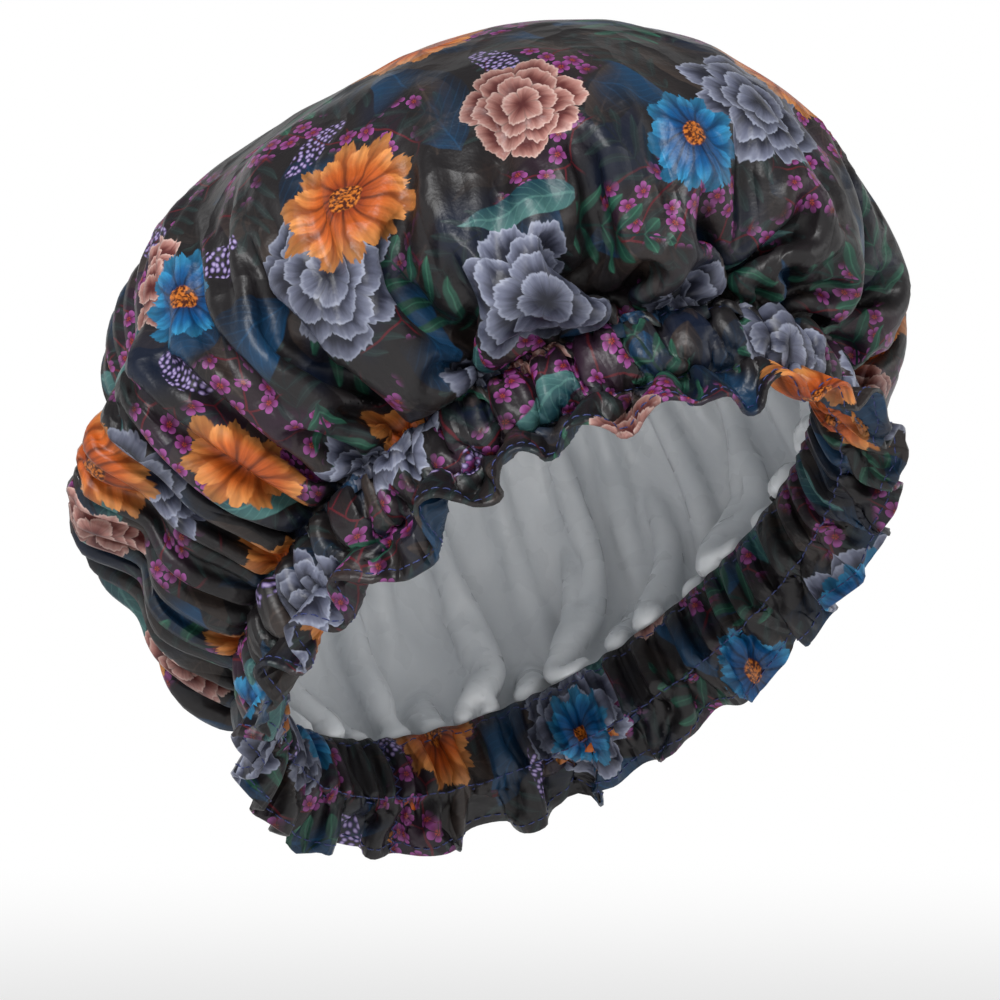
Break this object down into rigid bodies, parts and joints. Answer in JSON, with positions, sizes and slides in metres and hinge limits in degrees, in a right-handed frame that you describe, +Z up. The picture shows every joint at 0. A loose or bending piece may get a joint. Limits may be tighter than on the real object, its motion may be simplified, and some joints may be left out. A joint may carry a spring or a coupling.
{
  "type": "shower cap",
  "caption": "Bouffant shower cap: puffed cloth crown over a waterproof lining, gathered into a folded band with an elastic channel and a ruffled hem.",
  "frame": {"origin": "middle of the elastic loop, where the head holds the cap", "axes": "+Z up on an upright head, -Y the way the wearer looks, +X the wearer's left; the loop is tilted with its front high"},
  "size_m": [0.241, 0.2331, 0.2456],
  "materials": {
    "printed_cloth": "smooth polyester with a soft satin sheen, dark ground with a loose floral print",
    "band_cloth": "the same printed polyester, gathered and topstitched",
    "lining_film": "thin soft waterproof film, milky white",
    "elastic": "white ribbed knitted elastic",
    "thread": "navy polyester sewing thread"
  },
  "bodies": {
    "root": {"crown_shell": "printed_cloth", "crown_lining": "lining_film", "ruffle_band": "band_cloth", "elastic_band": "elastic", "elastic_lap_tack": "thread", "crown_seam_thread": "thread", "channel_thread": "thread", "hem_thread": "thread", "band_join_thread": "thread"}
  },
  "joints": []
}
